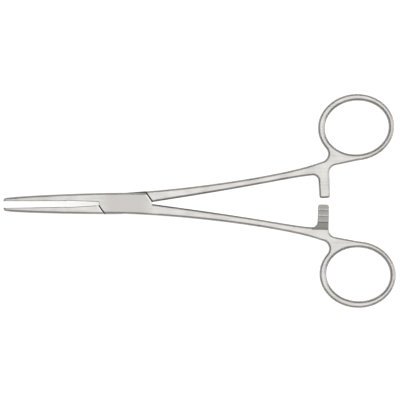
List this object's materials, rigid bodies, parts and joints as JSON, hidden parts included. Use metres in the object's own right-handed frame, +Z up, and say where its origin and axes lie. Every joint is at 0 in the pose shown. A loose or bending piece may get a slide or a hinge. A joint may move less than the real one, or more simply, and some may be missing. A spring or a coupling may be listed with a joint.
{
  "type": "haemostatic forceps",
  "caption": "Straight ring-handled clamping forceps with a box lock, cross-serrated jaws and a ratchet that holds them shut.",
  "frame": {"origin": "on the pivot's axis, at the flat underside of the box", "axes": "+Z up through the pivot, +X along the instrument's axis towards the finger rings, jaws towards -X, +Y towards the ring of the tongue half"},
  "size_m": [0.1396, 0.0762, 0.0054],
  "materials": {
    "satin_steel": "satin brushed",
    "pin_steel": "ground flush, satin"
  },
  "bodies": {
    "box_arm": {"box_half": "satin_steel", "pivot_pin": "pin_steel"},
    "tongue_arm": {"tongue_half": "satin_steel"}
  },
  "joints": [
    {"name": "box_lock_hinge", "type": "hinge", "parent": "box_arm", "child": "tongue_arm", "pos_m": [0, 0, 0.0027], "axis": [0, 0, 1], "range_deg": [-3, 60]}
  ]
}
